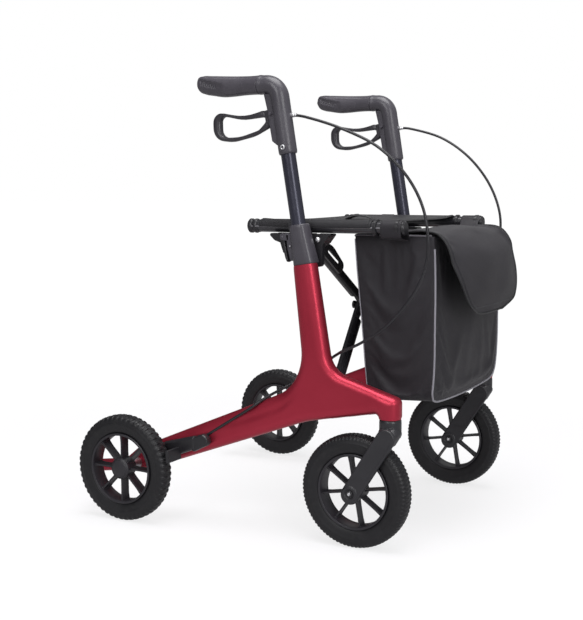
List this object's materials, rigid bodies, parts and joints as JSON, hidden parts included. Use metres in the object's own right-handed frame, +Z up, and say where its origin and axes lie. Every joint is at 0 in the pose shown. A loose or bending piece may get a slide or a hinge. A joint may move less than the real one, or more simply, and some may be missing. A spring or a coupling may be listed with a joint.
{
  "type": "rollator walker",
  "caption": "Folding rollator walker with moulded side frames, height-adjustable handles, loop brakes, sling seat, front bag and swivelling front wheels.",
  "frame": {"origin": "on the floor under the centre of the object's box: midway along its length and on its centre plane", "axes": "+X forwards (the way the walker rolls), +Y to the user's left, +Z up"},
  "size_m": [0.7139, 0.6328, 0.818],
  "materials": {
    "frame_paint": "satin metallic red paint on a moulded fibre composite",
    "dark_plastic": "fine-grained dark grey moulding",
    "black_plastic": "black moulding",
    "lever_plastic": "smooth dark grey moulding",
    "fork_plastic": "satin black, glass-filled moulding",
    "wheel_plastic": "glass-filled black nylon",
    "tube_anodised": "satin anthracite anodised aluminium",
    "rail_metal": "satin black anodised aluminium",
    "bright_steel": "zinc-plated steel",
    "dull_steel": "turned steel",
    "grip_rubber": "soft-touch rubber",
    "tyre_rubber": "solid tyre rubber",
    "cable_jacket": "black cable jacket",
    "bag_fabric": "coated black nylon weave with grey piping",
    "sling_fabric": "black polyester weave"
  },
  "bodies": {
    "right_frame": {"right_side_frame": "frame_paint", "right_sleeve": "dark_plastic", "right_swivel_bearings": "dull_steel", "right_hinge_block": "black_plastic", "right_saddle": "black_plastic", "right_rear_axle": "dull_steel", "right_brake_housing": "black_plastic", "right_brake_cable": "cable_jacket", "right_frame_screws": "bright_steel"},
    "right_clamp": {"right_clamp_lever": "black_plastic"},
    "right_handle": {"right_handle_tube": "tube_anodised", "right_handle_body": "dark_plastic", "right_handle_screws": "bright_steel", "right_grip": "grip_rubber"},
    "right_lever": {"right_brake_lever": "lever_plastic"},
    "right_shoe": {"right_brake_shoe": "black_plastic"},
    "right_rear_wheel_set": {"right_rear_wheel": "wheel_plastic", "right_rear_tyre": "tyre_rubber", "right_hub_cap": "wheel_plastic"},
    "right_castor": {"right_fork": "fork_plastic", "right_swivel_stem": "dull_steel", "right_front_axle": "bright_steel"},
    "right_front_wheel_set": {"right_front_wheel": "wheel_plastic", "right_front_tyre": "tyre_rubber"},
    "right_link": {"right_guide_link": "black_plastic"},
    "left_frame": {"left_side_frame": "frame_paint", "left_sleeve": "dark_plastic", "left_swivel_bearings": "dull_steel", "left_hinge_block": "black_plastic", "left_saddle": "black_plastic", "left_rear_axle": "dull_steel", "left_brake_housing": "black_plastic", "left_brake_cable": "cable_jacket", "left_frame_screws": "bright_steel"},
    "left_clamp": {"left_clamp_lever": "black_plastic"},
    "left_handle": {"left_handle_tube": "tube_anodised", "left_handle_body": "dark_plastic", "left_handle_screws": "bright_steel", "left_grip": "grip_rubber"},
    "left_lever": {"left_brake_lever": "lever_plastic"},
    "left_shoe": {"left_brake_shoe": "black_plastic"},
    "left_rear_wheel_set": {"left_rear_wheel": "wheel_plastic", "left_rear_tyre": "tyre_rubber", "left_hub_cap": "wheel_plastic"},
    "left_castor": {"left_fork": "fork_plastic", "left_swivel_stem": "dull_steel", "left_front_axle": "bright_steel"},
    "left_front_wheel_set": {"left_front_wheel": "wheel_plastic", "left_front_tyre": "tyre_rubber"},
    "left_link": {"left_guide_link": "black_plastic"},
    "brace_a": {"crossbar_a": "rail_metal", "centre_bolt": "black_plastic", "left_seat_rail": "rail_metal", "left_rail_fittings": "black_plastic"},
    "brace_b": {"crossbar_b": "rail_metal", "right_seat_rail": "rail_metal", "right_rail_fittings": "black_plastic"},
    "seat": {"seat_sling": "sling_fabric", "bag": "bag_fabric"},
    "flap": {"bag_flap": "bag_fabric"}
  },
  "joints": [
    {"name": "fold", "type": "hinge", "parent": "right_frame", "child": "brace_a", "pos_m": [0.13826, -0.207, 0.234], "axis": [1, 0, 0], "range_deg": [0, 36], "deforming": ["seat_sling", "bag", "bag_flap"]},
    {"name": "cross_pivot", "type": "hinge", "parent": "brace_a", "child": "brace_b", "pos_m": [0.101, 0, 0.39624], "axis": [1, 0, 0], "range_deg": [-72, 0]},
    {"name": "left_hinge", "type": "hinge", "parent": "brace_b", "child": "left_frame", "pos_m": [0.13826, 0.207, 0.234], "axis": [1, 0, 0], "range_deg": [0, 36]},
    {"name": "seat_carry", "type": "hinge", "parent": "brace_a", "child": "seat", "pos_m": [0.065, 0.2, 0.553], "axis": [1, 0, 0], "range_deg": [-36, 0]},
    {"name": "flap_hinge", "type": "hinge", "parent": "seat", "child": "flap", "pos_m": [0.218, 0, 0.5395], "axis": [0, -1, 0], "range_deg": [0, 85]},
    {"name": "right_height", "type": "slide", "parent": "right_frame", "child": "right_handle", "axis": [-0.165, 0, 0.9863], "range_m": [-0.075, 0.1], "deforming": ["right_brake_cable"]},
    {"name": "right_clamp_turn", "type": "hinge", "parent": "right_frame", "child": "right_clamp", "pos_m": [0.0585, -0.237, 0.535], "axis": [0, 1, 0], "range_deg": [0, 60]},
    {"name": "right_lever_squeeze", "type": "hinge", "parent": "right_handle", "child": "right_lever", "pos_m": [0.037, -0.237, 0.749], "axis": [0, 1, 0], "range_deg": [-15, 12]},
    {"name": "right_shoe_swing", "type": "hinge", "parent": "right_frame", "child": "right_shoe", "pos_m": [-0.158, -0.265, 0.131], "axis": [0, 1, 0], "range_deg": [-24, 19.2]},
    {"name": "right_rear_spin", "type": "hinge", "parent": "right_frame", "child": "right_rear_wheel_set", "pos_m": [-0.25, -0.3, 0.1], "axis": [0, 1, 0], "continuous": true},
    {"name": "right_castor_swivel", "type": "hinge", "parent": "right_frame", "child": "right_castor", "pos_m": [0.265, -0.241, 0.24], "axis": [0, 0, 1], "continuous": true},
    {"name": "right_front_spin", "type": "hinge", "parent": "right_castor", "child": "right_front_wheel_set", "pos_m": [0.202, -0.241, 0.1], "axis": [0, 1, 0], "continuous": true},
    {"name": "right_link_swing", "type": "hinge", "parent": "right_frame", "child": "right_link", "pos_m": [0.1015, -0.198, 0.526], "axis": [1, 0, 0], "range_deg": [0, 108]},
    {"name": "left_height", "type": "slide", "parent": "left_frame", "child": "left_handle", "axis": [-0.165, 0, 0.9863], "range_m": [-0.075, 0.1], "deforming": ["left_brake_cable"]},
    {"name": "left_clamp_turn", "type": "hinge", "parent": "left_frame", "child": "left_clamp", "pos_m": [0.0585, 0.237, 0.535], "axis": [0, 1, 0], "range_deg": [0, 60]},
    {"name": "left_lever_squeeze", "type": "hinge", "parent": "left_handle", "child": "left_lever", "pos_m": [0.037, 0.237, 0.749], "axis": [0, 1, 0], "range_deg": [-15, 12]},
    {"name": "left_shoe_swing", "type": "hinge", "parent": "left_frame", "child": "left_shoe", "pos_m": [-0.158, 0.265, 0.131], "axis": [0, 1, 0], "range_deg": [-24, 19.2]},
    {"name": "left_rear_spin", "type": "hinge", "parent": "left_frame", "child": "left_rear_wheel_set", "pos_m": [-0.25, 0.3, 0.1], "axis": [0, 1, 0], "continuous": true},
    {"name": "left_castor_swivel", "type": "hinge", "parent": "left_frame", "child": "left_castor", "pos_m": [0.265, 0.241, 0.24], "axis": [0, 0, 1], "continuous": true},
    {"name": "left_front_spin", "type": "hinge", "parent": "left_castor", "child": "left_front_wheel_set", "pos_m": [0.202, 0.241, 0.1], "axis": [0, 1, 0], "continuous": true},
    {"name": "left_link_swing", "type": "hinge", "parent": "left_frame", "child": "left_link", "pos_m": [0.1015, 0.198, 0.526], "axis": [1, 0, 0], "range_deg": [-108, 0]}
  ],
  "couplings": [
    {"joint": "cross_pivot", "follows": "fold", "ratio": -2},
    {"joint": "left_hinge", "follows": "fold", "ratio": 1},
    {"joint": "seat_carry", "follows": "fold", "ratio": -1},
    {"joint": "right_shoe_swing", "follows": "right_lever_squeeze", "ratio": 1.6},
    {"joint": "right_link_swing", "follows": "fold", "ratio": 3},
    {"joint": "left_shoe_swing", "follows": "left_lever_squeeze", "ratio": 1.6},
    {"joint": "left_link_swing", "follows": "fold", "ratio": -3}
  ]
}
